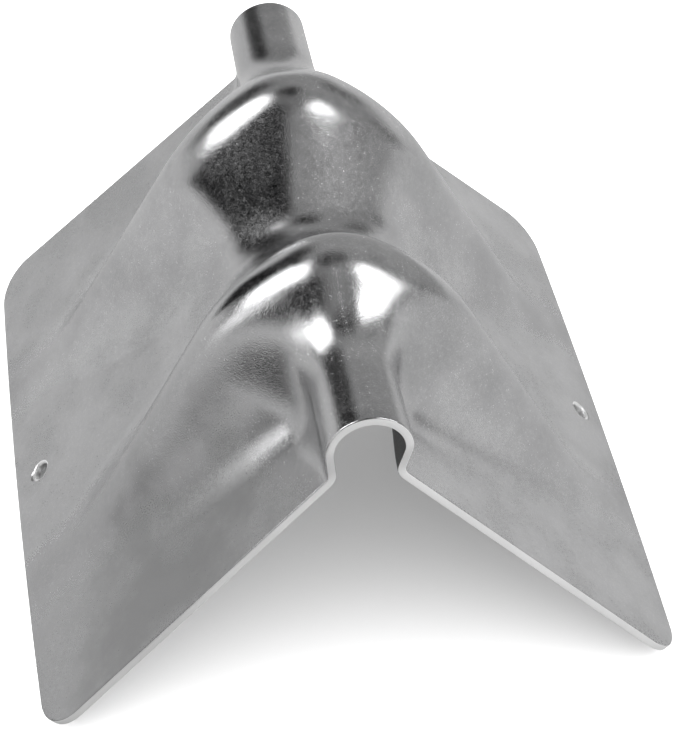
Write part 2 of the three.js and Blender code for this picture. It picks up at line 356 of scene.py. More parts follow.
class PressTree(TreeKit):
    """Geometry node tree that presses a flat grid into the protector's shell."""

    def __init__(
        self, sizes: SheetSizes, skin: bpy.types.Material, cut: bpy.types.Material
    ) -> None:
        """Makes the tree's sockets.

        Args:
            sizes: Sizes of the sheet, which become the tree's named inputs.
            skin: Material of the outer and inner skins.
            cut: Material of the sheared edges.
        """
        super().__init__(bpy.data.node_groups.new("press_sheet", "GeometryNodeTree"))
        self.values: dict[str, float | int | bpy.types.Material] = {}
        interface = self.tree.interface
        interface.new_socket("Geometry", in_out="OUTPUT", socket_type="NodeSocketGeometry")
        named = {item.name: getattr(sizes, item.name) for item in fields(sizes)}
        named.update(flank_end=sizes.flank_end, flank_angle=sizes.flank_angle)
        named.update(leg_start=sizes.leg_start, leg_loss=sizes.leg_loss)
        for name, value in named.items():
            interface.new_socket(name, in_out="INPUT", socket_type="NodeSocketFloat")
            self.values[name] = value
        for name, value in (("columns", GRID_COLUMNS), ("rows", GRID_ROWS)):
            interface.new_socket(name, in_out="INPUT", socket_type="NodeSocketInt")
            self.values[name] = value
        for name, value in (("skin", skin), ("cut", cut)):
            interface.new_socket(name, in_out="INPUT", socket_type="NodeSocketMaterial")
            self.values[name] = value
        self.start = self.tree.nodes.new("NodeGroupInput")
        self.end = self.tree.nodes.new("NodeGroupOutput")

    def link(self, source: bpy.types.NodeSocket, target: bpy.types.NodeSocket) -> None:
        """Links two sockets."""
        self.tree.links.new(source, target)

    def given(self, name: str) -> Field:
        """A named input of the tree as a field."""
        return Field(self.tree, self.start.outputs[name])

    def rib_slope(self, run: Field, rounding: Field, runout: Field) -> Field:
        """Falls from 1 to 0 as the run goes from 0 to 1, straight between its two rounded ends.

        Args:
            run: Share of the slope that a place has run down.
            rounding: Share of the slope that is rounded at its ridge.
            runout: Share of it that is rounded at its foot.

        Returns:
            The share of the rib's section that the place keeps.
        """
        held = run.between(0.0, 1.0)
        top = held.at_most(rounding) ** 2.0 / (2.0 * rounding)
        middle = (held - rounding).between(0.0, 1.0 - rounding - runout)
        foot = (runout ** 2.0 - (1.0 - held).at_most(runout) ** 2.0) / (2.0 * runout)
        return 1.0 - (top + middle + foot) / (1.0 - (rounding + runout) / 2.0)

    def across_flank(self, share: Field, start: Field) -> Field:
        """Distance from the middle plane past the crown: down the flank, then the plain wing.

        Args:
            share: Place across a half section, 0 on the crest and 1 on the outer edge.
            start: Distance at the crown's end.

        Returns:
            The distance, which is the same as the start on the crown itself.
        """
        crown, flank = self.given("crown_share"), self.given("flank_share")
        edge = self.given("wing_slant") * self.given("wing_angle").cosine()
        end = self.given("flank_end")
        on_flank = ((share - crown) / (flank - crown)).between(0.0, 1.0)
        on_wing = ((share - flank) / (1.0 - flank)).between(0.0, 1.0)
        return start + (end - start) * on_flank + (edge - end) * on_wing

    def onto_wing(self, x: Field, z: Field, blend: Field) -> Field:
        """Height of a section that runs out softly into the plain wing.

        Args:
            x: Distance from the middle plane.
            z: Height of the section, which may be under the wing.
            blend: Height over the wing below which the section runs out.

        Returns:
            The height, never under the wing.
        """
        slope = self.given("wing_angle").tangent()
        above = z + x * slope
        held = above.between(0.0 - blend, blend)
        return (held + blend) ** 2.0 / (4.0 * blend) + (above - blend).at_least(0.0) - x * slope

    def rib_section(self, share: Field) -> tuple[Field, Field]:
        """Half section on a rib's ridge: top arc, shoulder arc and straight flank.

        Args:
            share: Place across the half section, 0 on the crest and 1 on the outer edge.

        Returns:
            Distance from the middle plane, and height.
        """
        top_radius, top_angle = self.given("rib_top_radius"), self.given("rib_top_angle")
        shoulder, flank_angle = self.given("rib_shoulder_radius"), self.given("flank_angle")
        top_length = top_radius * top_angle
        whole = top_length + shoulder * (flank_angle - top_angle)
        run = (share / self.given("crown_share")).at_most(1.0) * whole
        on_top = run.at_most(top_length) / top_radius
        on_shoulder = top_angle + (run - top_length).at_least(0.0) / shoulder
        arc_x = top_radius * on_top.sine() + shoulder * (on_shoulder.sine() - top_angle.sine())
        fall = shoulder * (on_shoulder.cosine() - top_angle.cosine())
        arc_z = self.given("rib_height") - top_radius + top_radius * on_top.cosine() + fall
        x = self.across_flank(share, arc_x)
        z = arc_z - (x - arc_x) * flank_angle.tangent()
        return x, self.onto_wing(x, z, self.given("rib_foot_blend"))

    def saddle_section(self, share: Field) -> tuple[Field, Field]:
        """Half section in the middle of the saddle: one arc and its tangent.

        Args:
            share: Place across the half section, 0 on the crest and 1 on the outer edge.

        Returns:
            Distance from the middle plane, and height.
        """
        radius, angle = self.given("saddle_radius"), self.given("saddle_angle")
        crown = self.given("crown_share")
        turned = (share / crown).at_most(1.0) * angle
        arc_x = radius * turned.sine()
        arc_z = self.given("saddle_height") - radius + radius * turned.cosine()
        x = self.across_flank(share, arc_x)
        tangent_z = arc_z - (x - arc_x) * angle.tangent()
        flat = self.onto_wing(x, tangent_z, self.given("saddle_foot_blend"))
        return x, (share > crown).blend(arc_z, flat)

    def end_section(self, share: Field, away: Field) -> tuple[Field, Field]:
        """Half section beyond the ribs: round back, leg and fillet of the roll, then the wing.

        Args:
            share: Place across the half section, 0 on the crest and 1 on the outer edge.
            away: Distance from the middle of the part along the crest.

        Returns:
            Distance from the middle plane, and height.
        """
        flare = ((self.given("half_length") - away) / self.given("roll_flare")).eased()
        fillet = flare.blend(self.given("roll_fillet"), self.given("roll_inner_fillet"))
        radius, leg = self.given("roll_radius"), self.given("roll_leg_angle")
        leg_length = self.given("leg_start") - self.given("leg_loss") * fillet
        wing, crown = self.given("wing_angle"), self.given("crown_share")
        back_length = radius * (leg + math.pi / 2)
        fillet_length = fillet * (leg - wing + math.pi / 2)
        run = (share / crown).at_most(1.0) * (back_length + leg_length + fillet_length)
        on_back = run.at_most(back_length) / radius
        on_leg = (run - back_length).between(0.0, leg_length)
        turn = math.pi - leg + (run - back_length - leg_length).at_least(0.0) / fillet
        x = radius * on_back.sine() - on_leg * leg.sine() + fillet * (turn.cosine() + leg.cosine())
        rise = radius * on_back.cosine() - on_leg * leg.cosine()
        z = self.given("roll_centre") + rise + fillet * (turn.sine() - leg.sine())
        past = share > crown
        wing_x = self.across_flank(share, x)
        return wing_x, past.blend(z, 0.0 - wing_x * wing.tangent())

    def rounded_corner(self, share: Field, away: Field) -> tuple[Field, Field]:
        """Draws the grid in at a wing's corner, so that its outline turns through a quarter circle.

        Args:
            share: Place across a half section, 0 on the crest and 1 on the outer edge.
            away: Distance from the middle of the part along the crest.

        Returns:
            The two coordinates after the move.
        """
        radius, flank = self.given("corner_radius"), self.given("flank_share")
        per_share = self.given("rib_foot_margin") / (1.0 - flank)
        p = (1.0 - (1.0 - share) * per_share / radius).between(0.0, 1.0)
        q = (1.0 - (self.given("half_length") - away) / radius).between(0.0, 1.0)
        moved_p = p * (1.0 - q * q / 2.0).root()
        moved_q = q * (1.0 - p * p / 2.0).root()
        return share - (p - moved_p) * radius / per_share, away - (q - moved_q) * radius

    def outer_surface(self, u: Field, v: Field) -> tuple[Field, Field, Field, Field]:
        """The sheet's outer surface.

        Args:
            u: Place across the part, -1 on the left edge and 1 on the right.
            v: Place along the part, -1 at the front end and 1 at the rear.

        Returns:
            The point's three coordinates, and how strongly the sheet was formed there, 0 to 1.
        """
        half = self.given("half_length")
        share, away = self.rounded_corner(u.size(), v.size() * half)
        crown, flank = self.given("crown_share"), self.given("flank_share")
        down = (share / flank).between(0.0, 1.0)
        ridge = down.blend(self.given("rib_pitch_crest"), self.given("rib_pitch_foot"))
        early_outer = 1.0 - down ** self.given("rib_outer_power")
        early_inner = 1.0 - down ** self.given("rib_inner_power")
        bulge = self.given("rib_outer_bulge") * 4.0 * down * (1.0 - down)
        outer = early_outer.blend(self.given("rib_outer_foot"), self.given("rib_outer_crest"))
        outer = outer + bulge
        inner = early_inner.blend(self.given("rib_inner_foot"), ridge)
        outside = away > ridge
        run = outside.blend((ridge - away) / inner, (away - ridge) / outer)
        rounding = outside.blend(self.given("rib_inner_rounding"), self.given("rib_outer_rounding"))
        runout = outside.blend(self.given("rib_inner_runout"), self.given("rib_outer_runout"))
        part = self.rib_slope(run, rounding, runout)
        rib_x, rib_z = self.rib_section(share)
        saddle_x, saddle_z = self.saddle_section(share)
        end_x, end_z = self.end_section(share, away)
        x = part.blend(outside.blend(saddle_x, end_x), rib_x)
        z = part.blend(outside.blend(saddle_z, end_z), rib_z)
        wing, place = self.given("wing_angle"), away / half
        stretch = ((share - flank) / (1.0 - flank)).between(0.0, 1.0)
        swell = self.given("edge_crown") * (1.0 - place * place) * stretch * wing.cosine()
        edge = self.given("wing_slant") * wing.cosine()
        wing_pull = self.given("end_pull_wing") * (1.0 - end_x / edge)
        to_wing = (share / crown * 2.0 - 1.0).eased()
        pull = to_wing.blend(self.given("end_pull_roll"), wing_pull) * place.eased()
        y = v.sign() * away * (1.0 - pull / half)
        height = z - swell * wing.tangent() + self.given("stand_height")
        near_crest = 1.0 - ((share / crown - FORMED_START) / FORMED_FADE).eased()
        formed = part.at_least(near_crest)
        return u.sign() * (x + swell), y, height, formed

    def pressed_skin(self) -> bpy.types.NodeSocket:
        """A grid laid on the outer surface, with the forming mask stored on its points.

        Returns:
            The socket that carries the outer skin.
        """
        grid = self.node("GeometryNodeMeshGrid")
        grid.inputs["Size X"].default_value = 2.0
        grid.inputs["Size Y"].default_value = 2.0
        self.link(self.start.outputs["columns"], grid.inputs["Vertices X"])
        self.link(self.start.outputs["rows"], grid.inputs["Vertices Y"])
        apart = self.node("ShaderNodeSeparateXYZ")
        self.link(self.node("GeometryNodeInputPosition").outputs[0], apart.inputs[0])
        u, v = Field(self.tree, apart.outputs[0]), Field(self.tree, apart.outputs[1])
        x, y, z, formed = self.outer_surface(u, v)
        stored = self.stored(grid.outputs["Mesh"], "formed", "POINT", formed.socket)
        together = self.node("ShaderNodeCombineXYZ")
        for socket, value in zip(together.inputs, (x, y, z)):
            self.link(value.socket, socket)
        laid = self.node("GeometryNodeSetPosition")
        self.link(stored, laid.inputs["Geometry"])
        self.link(together.outputs[0], laid.inputs["Position"])
        return laid.outputs["Geometry"]

    def stored(
        self,
        mesh: bpy.types.NodeSocket,
        name: str,
        domain: str,
        value: bpy.types.NodeSocket | float,
    ) -> bpy.types.NodeSocket:
        """Stores a number under a name on a mesh.

        Args:
            mesh: Socket that carries the mesh.
            name: The attribute's name.
            domain: POINT, EDGE or FACE.
            value: Socket or plain number to store.

        Returns:
            The socket that carries the mesh with its new attribute.
        """
        store = self.node("GeometryNodeStoreNamedAttribute", data_type="FLOAT", domain=domain)
        store.inputs["Name"].default_value = name
        self.link(mesh, store.inputs["Geometry"])
        self.put(value, store.inputs["Value"])
        return store.outputs["Geometry"]

    def read(self, name: str) -> Field:
        """A stored number as a field.

        Args:
            name: The attribute's name.

        Returns:
            The field.
        """
        node = self.node("GeometryNodeInputNamedAttribute", data_type="FLOAT")
        node.inputs["Name"].default_value = name
        return Field(self.tree, node.outputs["Attribute"])

    def thickened(self, skin: bpy.types.NodeSocket) -> bpy.types.NodeSocket:
        """Closes the shell: inner skin and cut faces, drawn down from the outer skin.

        Args:
            skin: Socket that carries the outer skin.

        Returns:
            The socket that carries the closed shell.
        """
        outer = self.stored(self.stored(skin, "outer", "FACE", 1.0), "sheared", "FACE", 0.0)
        inwards = self.node("ShaderNodeVectorMath", operation="SCALE")
        self.link(self.node("GeometryNodeInputNormal").outputs["Normal"], inwards.inputs[0])
        self.link((0.0 - self.given("sheet")).socket, inwards.inputs["Scale"])
        drawn = self.node("GeometryNodeExtrudeMesh", mode="FACES")
        drawn.inputs["Individual"].default_value = False
        self.link(outer, drawn.inputs["Mesh"])
        self.link(inwards.outputs[0], drawn.inputs["Offset"])
        side = self.node("ShaderNodeMath", operation="MULTIPLY")
        side.inputs[1].default_value = 1.0
        self.link(drawn.outputs["Side"], side.inputs[0])
        cut = self.stored(drawn.outputs["Mesh"], "sheared", "FACE", side.outputs[0])
        inner = self.stored(cut, "outer", "FACE", 0.0)
        turned = self.node("GeometryNodeFlipFaces")
        self.link(inner, turned.inputs["Mesh"])
        both = self.node("GeometryNodeJoinGeometry")
        self.link(turned.outputs["Mesh"], both.inputs["Geometry"])
        self.link(outer, both.inputs["Geometry"])
        merged = self.node("GeometryNodeMergeByDistance")
        merged.inputs["Distance"].default_value = SEAM_DISTANCE
        self.link(both.outputs["Geometry"], merged.inputs["Geometry"])
        return merged.outputs["Geometry"]

    def edge_weights(self, shell: bpy.types.NodeSocket) -> bpy.types.NodeSocket:
        """Marks how strongly each rim edge is rounded: fully outside, about a third inside.

        Args:
            shell: Socket that carries the closed shell.

        Returns:
            The socket that carries the shell with its weights.
        """
        on_rim = 1.0 - ((self.read("sheared") - HALF).size() > RIM_TOLERANCE)
        weight = on_rim * (self.read("outer") * OUTER_RIM_WEIGHT + INNER_RIM_WEIGHT)
        return self.stored(shell, "bevel_weight_edge", "EDGE", weight.socket)

    def dressed(self, shell: bpy.types.NodeSocket) -> bpy.types.NodeSocket:
        """Sets both materials, the cut one on the cut faces only.

        Args:
            shell: Socket that carries the closed shell.

        Returns:
            The socket that carries the dressed shell.
        """
        whole = self.node("GeometryNodeRealizeInstances")
        self.link(shell, whole.inputs["Geometry"])
        smooth = self.node("GeometryNodeSetShadeSmooth")
        self.link(whole.outputs["Geometry"], smooth.inputs["Geometry"])
        skin = self.node("GeometryNodeSetMaterial")
        self.link(smooth.outputs["Geometry"], skin.inputs["Geometry"])
        self.link(self.start.outputs["skin"], skin.inputs["Material"])
        cut = self.node("GeometryNodeSetMaterial")
        self.link(skin.outputs["Geometry"], cut.inputs["Geometry"])
        self.link((self.read("sheared") > HALF).socket, cut.inputs["Selection"])
        self.link(self.start.outputs["cut"], cut.inputs["Material"])
        return cut.outputs["Geometry"]

    def build(self) -> None:
        """Links the whole tree."""
        shell = self.edge_weights(self.thickened(self.pressed_skin()))
        self.link(self.dressed(shell), self.end.inputs["Geometry"])

    def fill(self, modifier: bpy.types.NodesModifier) -> None:
        """Sets a modifier's inputs by their sockets' identifiers.

        Args:
            modifier: The modifier that runs this tree.
        """
        modifier.node_group = self.tree
        for item in self.tree.interface.items_tree:
            if item.in_out == "INPUT":
                modifier[item.identifier] = self.values[item.name]


class Surface(Enum):
    """The two kinds of surface that the press leaves."""

    SKIN = "zinc_skin"
    CUT = "sheared_edge"


class ShaderKit(TreeKit):
    """Short calls for building the node tree of a material, a group or a world."""

    def noise(
        self, place: object, scale: float, detail: float = 2.0, roughness: float = 0.5
    ) -> Field:
        """A noise pattern, 0 to 1, at so many features per metre.

        Args:
            place: Coordinates to lay the pattern on.
            scale: Features per metre.
            detail: How many finer layers it has.
            roughness: How strong the finer layers are.

        Returns:
            The pattern.
        """
        node = self.node("ShaderNodeTexNoise", noise_dimensions="3D")
        self.put(place, node.inputs["Vector"])
        self.put(scale, node.inputs["Scale"])
        self.put(detail, node.inputs["Detail"])
        self.put(roughness, node.inputs["Roughness"])
        return Field(self.tree, node.outputs["Fac"])

    def ramp(
        self, value: object, low: float, high: float, start: float = 0.0, end: float = 1.0
    ) -> Field:
        """Maps a number smoothly from one range to another, and holds it there.

        Args:
            value: The number.
            low: Start of its range.
            high: End of its range.
            start: Result at the start.
            end: Result at the end.

        Returns:
            The mapped number.
        """
        node = self.node("ShaderNodeMapRange", interpolation_type="SMOOTHSTEP")
        self.put(value, node.inputs["Value"])
        names = ("From Min", "From Max", "To Min", "To Max")
        for socket, number in zip(names, (low, high, start, end)):
            self.put(number, node.inputs[socket])
        return Field(self.tree, node.outputs["Result"])

    def mix_colour(self, factor: object, first: object, second: object) -> bpy.types.NodeSocket:
        """A colour between two colours.

        Args:
            factor: 0 for the first colour and 1 for the second.
            first: The first colour.
            second: The second colour.

        Returns:
            The socket that carries the colour.
        """
        node = self.node("ShaderNodeMix", data_type="RGBA")
        self.put(factor, node.inputs[0])
        self.put(first, node.inputs[6])
        self.put(second, node.inputs[7])
        return node.outputs[2]

    def stretched(
        self, place: object, scale: tuple, turn: tuple = (0.0, 0.0, 0.0)
    ) -> bpy.types.NodeSocket:
        """Coordinates that are turned and then stretched.

        Args:
            place: The coordinates.
            scale: Stretch along each axis.
            turn: Angle about each axis in radians.

        Returns:
            The socket that carries the new ones.
        """
        node = self.node("ShaderNodeMapping")
        self.put(place, node.inputs["Vector"])
        self.put(turn, node.inputs["Rotation"])
        self.put(scale, node.inputs["Scale"])
        return node.outputs["Vector"]


class MetalGroups:
    """Shader node groups that both finishes use."""

    def __init__(self) -> None:
        """Builds the groups."""
        self.grain = self.build_grain()
        self.scratches = self.build_scratches()

    @staticmethod
    def empty(name: str, inputs: dict[str, float], outputs: dict[str, str]) -> tuple:
        """A group with a vector input, number inputs and the named outputs.

        Args:
            name: The group's name.
            inputs: Names and usual values of its number inputs.
            outputs: Names and socket types of its outputs.

        Returns:
            The group, its kit, its input node and its output node.
        """
        group = bpy.data.node_groups.new(name, "ShaderNodeTree")
        group.interface.new_socket("Place", in_out="INPUT", socket_type="NodeSocketVector")
        for label, value in inputs.items():
            socket = group.interface.new_socket(
                label, in_out="INPUT", socket_type="NodeSocketFloat"
            )
            socket.default_value = value
        for label, kind in outputs.items():
            group.interface.new_socket(label, in_out="OUTPUT", socket_type=kind)
        kit = ShaderKit(group)
        return group, kit, kit.node("NodeGroupInput"), kit.node("NodeGroupOutput")

    def build_grain(self) -> bpy.types.NodeTree:
        """Grain of rolled zinc: fine specks, and clouds where the coat is duller.

        Returns:
            The group, which puts out a height, a speck mask and a cloud mask.
        """
        group, kit, start, end = self.empty(
            "zinc_grain",
            {"Size": 0.001, "Cloud Size": 0.03},
            {"Height": "NodeSocketFloat", "Speck": "NodeSocketFloat", "Cloud": "NodeSocketFloat"},
        )
        place = start.outputs["Place"]
        fine = kit.noise(place, 1.0, detail=3.0, roughness=0.65)
        coarse = kit.noise(place, 1.0, detail=2.0)
        cloud = kit.noise(place, 1.0, detail=4.0, roughness=0.6)
        size = Field(group, start.outputs["Size"])
        kit.put(1.0 / size, fine.socket.node.inputs["Scale"])
        kit.put(0.3 / size, coarse.socket.node.inputs["Scale"])
        kit.put(1.0 / Field(group, start.outputs["Cloud Size"]), cloud.socket.node.inputs["Scale"])
        kit.put(fine * 0.7 + coarse * 0.3, end.inputs["Height"])
        kit.put(kit.ramp(fine * 0.75 + coarse * 0.25, 0.56, 0.68), end.inputs["Speck"])
        kit.put(kit.ramp(cloud, 0.32, 0.68), end.inputs["Cloud"])
        return group

    def build_scratches(self) -> bpy.types.NodeTree:
        """Fine straight scratches, in patches, along one direction of their coordinates.

        Returns:
            The group, which puts out the scratches' mask.
        """
        group, kit, start, end = self.empty(
            "fine_scratches",
            {"Spacing": 0.0009, "Patch Size": 0.05},
            {"Mask": "NodeSocketFloat"},
        )
        place = start.outputs["Place"]
        lines = kit.noise(kit.stretched(place, (1.0, 0.012, 1.0)), 1.0, detail=1.0)
        kit.put(1.0 / Field(group, start.outputs["Spacing"]), lines.socket.node.inputs["Scale"])
        patches = kit.noise(place, 1.0, detail=1.0)
        per_metre = 1.0 / Field(group, start.outputs["Patch Size"])
        kit.put(per_metre, patches.socket.node.inputs["Scale"])
        kit.put(kit.ramp(lines, 0.66, 0.74) * kit.ramp(patches, 0.52, 0.66), end.inputs["Mask"])
        return group


@dataclass(frozen=True)
class Finish:
    """A metal finish of the sheet."""

    surface: Surface
    light: tuple[float, float, float, float]
    dark: tuple[float, float, float, float]
    plain_roughness: float
    formed_roughness: float
    grain_size: float
    grain_depth: float
    grain_roughness: float
    wave_depth: float
    scratch_strength: float
    speck: tuple[float, float, float, float] = (0.80, 0.80, 0.80, 1.0)
    # painted shade: a darker patch in the skin's colour at the left wing's front, in place of a
    # darker reflection
    painted_shade: tuple[float, float, float, float] = (0.27, 0.27, 0.272, 1.0)
    painted_shade_place: tuple[float, float, float] = (-0.060, -0.092, 0.048)
    painted_shade_reach: tuple[float, float] = (0.004, 0.085)
    painted_shade_strength: float = 0.85
    painted_shade_drift: float = 0.045
    cloud_tone: float = 0.45
    grain_tone: float = 1.1
    tone_shift: float = 0.27
    speck_strength: float = 0.35
    plain_grain: float = 0.3
    plain_relief: float = 0.25
    cloud_roughness: float = 0.05
    scratch_roughness: float = 0.1
    scratch_relief: float = 0.3
    roughness_range: tuple[float, float] = (0.08, 0.9)
    scratch_turn: float = 0.5
    waves_per_metre: float = 22.0

    def material(self, groups: MetalGroups) -> bpy.types.Material:
        """Builds the finish as a material.

        Args:
            groups: The shared shader node groups.

        Returns:
            The material.
        """
        made = bpy.data.materials.new(self.surface.value)
        made.use_nodes = True
        made.node_tree.nodes.clear()
        kit = ShaderKit(made.node_tree)
        place = kit.node("ShaderNodeTexCoord").outputs["Object"]
        grain = kit.node("ShaderNodeGroup", node_tree=groups.grain)
        kit.put(place, grain.inputs["Place"])
        kit.put(self.grain_size, grain.inputs["Size"])
        scratches = kit.node("ShaderNodeGroup", node_tree=groups.scratches)
        turned = kit.stretched(place, (1.0, 1.0, 1.0), (0.0, 0.0, self.scratch_turn))
        kit.put(turned, scratches.inputs["Place"])
        formed = kit.node("ShaderNodeAttribute", attribute_name="formed").outputs["Fac"]
        formed = Field(made.node_tree, formed)
        relief = Field(made.node_tree, grain.outputs["Height"])
        cloud = Field(made.node_tree, grain.outputs["Cloud"])
        speck = Field(made.node_tree, grain.outputs["Speck"])
        scratch = Field(made.node_tree, scratches.outputs["Mask"]) * self.scratch_strength
        scratch = scratch * (1.0 - formed)
        shader = kit.node("ShaderNodeBsdfPrincipled")
        tone = cloud * self.cloud_tone + relief * self.grain_tone - self.tone_shift
        colour = kit.mix_colour(tone.between(0.0, 1.0), self.dark, self.light)
        colour = kit.mix_colour(speck * self.speck_strength, colour, self.speck)
        # base colour, with the painted shade on the left wing's front
        kit.put(self.with_painted_shade(kit, place, cloud, colour), shader.inputs["Base Color"])
        kit.put(1.0, shader.inputs["Metallic"])
        level = formed.blend(self.plain_roughness, self.formed_roughness)
        grained = (relief - 0.5) * self.grain_roughness
        level = level + grained * formed.blend(self.plain_grain, 1.0)
        level = level + (cloud - 0.5) * self.cloud_roughness + scratch * self.scratch_roughness
        kit.put(level.between(*self.roughness_range), shader.inputs["Roughness"])
        height = relief * formed.blend(self.plain_relief, 1.0) - scratch * self.scratch_relief
        kit.put(self.normal(kit, place, height), shader.inputs["Normal"])
        out = kit.node("ShaderNodeOutputMaterial")
        kit.put(shader.outputs["BSDF"], out.inputs["Surface"])
        return made

    def with_painted_shade(
        self, kit: ShaderKit, place: object, cloud: Field, colour: bpy.types.NodeSocket
    ) -> bpy.types.NodeSocket:
        """The colour with one large painted shade, a darker patch in place of a darker reflection.

        Args:
            kit: Kit of the material's tree.
            place: Object coordinates.
            cloud: Mask of the zinc's clouds, which makes the patch's rim uneven.
            colour: The metal's colour without the patch.

        Returns:
            The socket that carries the colour.
        """
        # painted shade: the colour darkens towards the patch's place, with an uneven rim
        gap = kit.node("ShaderNodeVectorMath", operation="DISTANCE")
        kit.put(place, gap.inputs[0])
        kit.put(self.painted_shade_place, gap.inputs[1])
        spread = Field(kit.tree, gap.outputs["Value"]) - (cloud - 0.5) * self.painted_shade_drift
        mask = kit.ramp(spread, *self.painted_shade_reach, self.painted_shade_strength, 0.0)
        return kit.mix_colour(mask, colour, self.painted_shade)

    def normal(self, kit: ShaderKit, place: object, height: Field) -> bpy.types.NodeSocket:
        """Surface normal with the grain and its scratches over slow waves of the sheet.

        Args:
            kit: Kit of the material's tree.
            place: Object coordinates.
            height: Height of the grain and its scratches, 0 to 1.

        Returns:
            The socket that carries the normal.
        """
        waves = kit.noise(place, self.waves_per_metre, detail=2.0)
        slow = kit.node("ShaderNodeBump")
        kit.put(1.0, slow.inputs["Strength"])
        kit.put(self.wave_depth, slow.inputs["Distance"])
        kit.put(waves, slow.inputs["Height"])
        fine = kit.node("ShaderNodeBump")
        kit.put(1.0, fine.inputs["Strength"])
        kit.put(self.grain_depth, fine.inputs["Distance"])
        kit.put(height, fine.inputs["Height"])
        kit.put(slow.outputs["Normal"], fine.inputs["Normal"])
        return fine.outputs["Normal"]


@dataclass(frozen=True)
class TieHole:
    """The punch that makes a tie hole, with a rounded rim where it enters the sheet."""

    side: int
    diameter: float = 0.0065
    margin: float = 0.0127
    rim: float = 0.0010
    inner_rim: float = 0.0003
    lean: float = math.radians(10)
    steps: int = 64
    rim_steps: int = 7

    def profile(self, sheet: float) -> list[tuple[float, float]]:
        """Radius and height of the punch's outline, from its lower end to its upper end.

        Args:
            sheet: The sheet's thickness.

        Returns:
            The outline's points.
        """
        radius, reach, lean = self.diameter / 2, 3 * sheet, self.lean
        points = [(0.0, -reach), (radius + 2 * self.inner_rim, -reach)]
        for step in range(self.rim_steps + 1):
            turn = lean + (math.pi / 2 - lean) * step / self.rim_steps
            across = radius + self.inner_rim * (1 - math.sin(turn))
            points.append((across, -sheet + self.inner_rim * (math.cos(lean) - math.cos(turn))))
        for step in range(self.rim_steps + 1):
            turn = math.pi / 2 - (math.pi / 2 - lean) * step / self.rim_steps
            across = radius + self.rim * (1 - math.sin(turn))
            points.append((across, self.rim * (math.cos(turn) - math.cos(lean))))
        points += [(radius + 2 * self.rim, reach), (0.0, reach)]
        return points

    def build(self, sizes: SheetSizes, cut: bpy.types.Material) -> bpy.types.Object:
        """Makes the punch where it goes through the wing.

        Args:
            sizes: Sizes of the sheet.
            cut: Material that the punch leaves on the hole's wall.

        Returns:
            The punch, which is only used to cut and isn't part of the object.
        """
        made = bmesh.new()
        rings = []
        for radius, height in self.profile(sizes.sheet):
            if radius == 0.0:
                rings.append([made.verts.new((0.0, 0.0, height))])
                continue
            turns = [2 * math.pi * step / self.steps for step in range(self.steps)]
            circle = [(radius * math.cos(t), radius * math.sin(t), height) for t in turns]
            rings.append([made.verts.new(point) for point in circle])
        for low, high in zip(rings, rings[1:]):
            for k in range(self.steps):
                following = (k + 1) % self.steps
                corners = [low[k % len(low)], low[following % len(low)]]
                corners += [high[following % len(high)], high[k % len(high)]]
                made.faces.new(list(dict.fromkeys(corners)))
        bmesh.ops.recalc_face_normals(made, faces=made.faces)
        slant = sizes.wing_slant + sizes.edge_crown - self.margin
        turn = Matrix.Rotation(self.side * sizes.wing_angle, 4, "Y")
        x = self.side * slant * math.cos(sizes.wing_angle)
        z = sizes.stand_height - slant * math.sin(sizes.wing_angle)
        made.transform(Matrix.Translation((x, 0.0, z)) @ turn)
        mesh = bpy.data.meshes.new("tie_hole_punch")
        made.to_mesh(mesh)
        made.free()
        mesh.materials.append(cut)
        mesh.shade_smooth()
        punch = bpy.data.objects.new("tie_hole_punch", mesh)
        bpy.context.scene.collection.objects.link(punch)
        return punch


@dataclass(frozen=True)
class PressedSheet:
    """The protector's one piece: a steel sheet pressed, trimmed and punched."""

    sizes: SheetSizes
    shoulder: float = 0.0006
    shoulder_steps: int = 4

    def build(self, skin: bpy.types.Material, cut: bpy.types.Material) -> bpy.types.Object:
        """Presses the sheet, rounds its sheared edges and punches its holes.

        Args:
            skin: Material of the two skins.
            cut: Material of the sheared edges and the holes' walls.

        Returns:
            The finished piece as a plain mesh.
        """
        blank = bpy.data.objects.new("blank", bpy.data.meshes.new("blank"))
        bpy.context.scene.collection.objects.link(blank)
        press = PressTree(self.sizes, skin, cut)
        press.build()
        press.fill(blank.modifiers.new("press", "NODES"))
        rounding = blank.modifiers.new("sheared_shoulder", "BEVEL")
        rounding.limit_method = "WEIGHT"
        rounding.width = self.shoulder
        rounding.segments = self.shoulder_steps
        rounding.use_clamp_overlap = False
        punches = [TieHole(side).build(self.sizes, cut) for side in (-1, 1)]
        for punch in punches:
            hole = blank.modifiers.new("tie_hole", "BOOLEAN")
            hole.operation = "DIFFERENCE"
            hole.solver = "EXACT"
            hole.material_mode = "TRANSFER"
            hole.object = punch
        piece = self.baked(blank)
        for leftover in (blank, *punches):
            bpy.data.objects.remove(leftover)
        return piece

    @staticmethod
    def baked(source: bpy.types.Object) -> bpy.types.Object:
        """Turns an object with modifiers into a plain mesh object.

        Args:
            source: The object with its modifiers.

        Returns:
            The plain mesh object.
        """
        graph = bpy.context.evaluated_depsgraph_get()
        mesh = bpy.data.meshes.new_from_object(source.evaluated_get(graph))
        mesh.name = "pressed_sheet"
        piece = bpy.data.objects.new("pressed_sheet", mesh)
        bpy.context.scene.collection.objects.link(piece)
        return piece

    @staticmethod
    def join_frame(piece: bpy.types.Object) -> None:
        """Parents the piece to the root body and hides the CAD shell that it replaces.

        Args:
            piece: The finished piece.
        """
        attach(piece, "root")
        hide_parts("pressed_shell")


def direction(azimuth: float, elevation: float) -> Vector:
    """Unit vector towards a place in the room.

    Args:
        azimuth: Angle about the upright in degrees, 0 in front and 90 on the right.
        elevation: Angle over the floor in degrees.

    Returns:
        The unit vector.
    """
    turn, rise = math.radians(azimuth), math.radians(elevation)
    level = math.cos(rise)
    return Vector((math.sin(turn) * level, -math.cos(turn) * level, math.sin(rise)))


